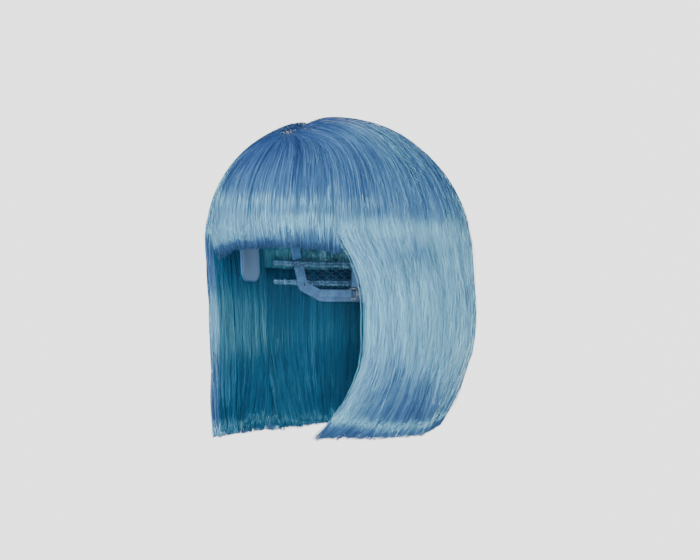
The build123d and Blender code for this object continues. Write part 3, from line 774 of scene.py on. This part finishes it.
for word, side in (("left", 1), ("right", -1)):
    loops = []
    for k in range(4):
        start = -12.0 + 8 * k
        path = [(-7.2, 0.3), (-6.6, 0.5), (-5.9, 2.6), (-5.0, 4.2),
                (5.0, 4.2), (5.9, 2.6), (6.6, 0.5), (7.2, 0.3)]
        loops.append(folded_strip(path, 3.0, 0.7, lambda a, w, r: at_nape(start + w, a, r, side), 36))
    put(f"adjuster_loops_{word}_tape", loops, ELASTIC, "cap", [f"adjuster_loops_{word}"])

    # Hook: a springy tongue with a rounded tip, and an eye that the elastic passes through.
    s = np.linspace(-9.6, 15.3, 30)[:, None]
    a = np.linspace(0, 2 * pi, 12, endpoint=False)[None]
    tip = np.sqrt(np.clip(1 - np.clip((-7.2 - s) / 2.5, 0, 1) ** 2, 0.02, 1))
    tongue = at_nape(s, 2.5 * tip * blunt(np.cos(a)), 2.4 + 0.5 * np.sqrt(tip) * blunt(np.sin(a)), side)[None]
    t = np.linspace(0, 2 * pi, 49)[:, None]
    loop_s, loop_h = 18.1 + 2.8 * blunt(np.cos(t)), 4.6 * blunt(np.sin(t))
    away = np.stack([np.cos(t), np.sin(t)], -1)
    eye = at_nape(loop_s + away[..., 0] * 0.9 * blunt(np.cos(a)),
                  loop_h + away[..., 1] * 0.9 * blunt(np.cos(a)),
                  2.4 + 0.5 * blunt(np.sin(a)) + 0 * t, side)[None]
    marks = [np.broadcast_to((g * 20)[..., :2], (*g.shape[:3], 2)) for g in (tongue, eye)]
    put(f"adjuster_hook_{word}_moulding", [(tongue, marks[0]), (eye, marks[1])], PLASTIC, f"hook_{word}",
        [f"adjuster_hook_{word}"])

    # Elastic: through the eye, folded back on itself and sewn, with its far end on the band.
    path = [(48.2, 1.2), (44, 2.3), (26, 2.5), (23.4, 3.4), (21.4, 3.7), (19.6, 3.5),
            (18.9, 2.4), (19.6, 1.2), (21.4, 0.9), (23.4, 1.0), (27, 1.35), (31, 1.4)]
    reach = [Vector(at_nape(x, 0, 2.4, side)) for x in (47.0, 22.5)]
    put(f"adjuster_strap_{word}_elastic",
        [folded_strip(path, 6.6, 0.8, lambda a, w, r: at_nape(a, w, r, side), 90)], ELASTIC, f"hook_{word}",
        [f"adjuster_strap_{word}"], bend=reach)


LABEL_WIDE, LABEL_TALL = 0.024, 0.016


def label_surface(v, out):
    """Surface of the care label, which hangs from the nape band and curls a little towards its lower edge."""
    z = np.linspace(-0.035, -0.051, 14)[:, None]
    x = (np.asarray(v)[None] - 0.5) * LABEL_WIDE
    y = RATIO * np.sqrt(cap_ring(-0.002, -0.040) ** 2 - x ** 2) - 0.0008
    y = y + 0.0012 * ((z + 0.035) / LABEL_TALL) ** 2
    return np.stack(np.broadcast_arrays(x, y + np.asarray(out)[None], z), -1)


label = put("care_label_satin", [ribbon(label_surface, 0.0, 1.0, 0.0, 0.0004, 11)], SATIN, "cap",
            ["care_label"])
label_seam = label_surface(np.linspace(0.06, 0.94, 30), np.full(30, -0.0003))[2]
put("care_label_stitches", [dashes(label_seam)], THREAD, "cap")

# ------------------------------------------------------------------ camera, light and floor
scene = bpy.context.scene


def aim(thing, at):
    """Turns a camera or light towards a point."""
    thing.rotation_euler = (Vector(at) - thing.location).to_track_quat("-Z", "Y").to_euler()


def bearing(turn, height):
    """Direction at an angle round the wig from straight ahead, and an angle up, in radians."""
    return Vector((sin(turn) * cos(height), -cos(turn) * cos(height), sin(height)))


azimuth, elevation, away = radians(38.0), radians(-3.0), 1.6
frame_width = 0.568  # what the picture spans, at the wig
across = Vector((cos(azimuth), sin(azimuth), 0))
look = across * 0.0095 + Vector((0, 0, -0.0253))
camera = bpy.data.objects.new("camera", bpy.data.cameras.new("camera"))
camera.location = look + away * bearing(azimuth, elevation)
camera.data.sensor_width = 36
camera.data.lens = 36 * away / frame_width
camera.data.clip_start, camera.data.clip_end = 0.05, 20
aim(camera, look)
scene.collection.objects.link(camera)
scene.camera = camera


def softbox(name, turn, height, distance, size, power):
    """Soft oval light, at an angle round the wig and a height angle, aimed at it."""
    light = bpy.data.objects.new(name, bpy.data.lights.new(name, "AREA"))
    light.data.shape = "ELLIPSE"
    light.data.size, light.data.size_y = size
    light.data.energy = power
    light.data.color = (0.97, 0.99, 1.0)
    light.location = distance * bearing(radians(turn), radians(height))
    aim(light, (0, 0, -0.02))
    scene.collection.objects.link(light)


softbox("key", -4, 25, 1.7, (1.0, 0.32), 22)
softbox("side", 38, -6, 1.7, (0.5, 1.3), 67)
softbox("rim", 215, 28, 1.9, (1.0, 1.3), 20)
softbox("back", 185, -4, 2.2, (1.0, 1.2), 34)

world = bpy.data.worlds.new("studio")
world.use_nodes = True
sky = world.node_tree.nodes["Background"]
sky.inputs["Color"].default_value = (0.88, 0.94, 1, 1)
sky.inputs["Strength"].default_value = 0.135
scene.world = world

# A cove of pale paper, lit from behind it: flat under the wig and curved up all round. It casts no light or
# shadow on the wig.
floor_z, flat_reach, curve, around = -1.15, 3.0, 1.4, 64
profile = [(0.001, floor_z), (flat_reach, floor_z)]
profile += [(flat_reach + curve * sin(a), floor_z + curve * (1 - cos(a)))
            for a in np.linspace(0.1, pi / 2, 14)]
profile += [(flat_reach + curve, 6.0)]
spin = np.linspace(0, 2 * pi, around, endpoint=False)
rows = np.array([[(r * cos(t), r * sin(t), z) for t in spin] for r, z in profile])
paper_mesh = bpy.data.meshes.new("paper_cove")
paper_mesh.from_pydata([tuple(p) for p in rows.reshape(-1, 3)], [],
                       [(row + k, row + (k + 1) % around, row + around + (k + 1) % around, row + around + k)
                        for row in range(0, around * (len(profile) - 1), around) for k in range(around)])
paper_mesh.shade_smooth()
cove = bpy.data.objects.new("paper_cove", paper_mesh)
cove.visible_diffuse = cove.visible_glossy = cove.visible_shadow = False
scene.collection.objects.link(cove)
paper, _, paper_shader = material("Backdrop paper, pale", Roughness=0.9)
paper_shader.inputs["Base Color"].default_value = srgb("ececec")
paper_shader.inputs["Emission Color"].default_value = srgb("ffffff")
paper_shader.inputs["Emission Strength"].default_value = 2.3
paper_mesh.materials.append(paper)
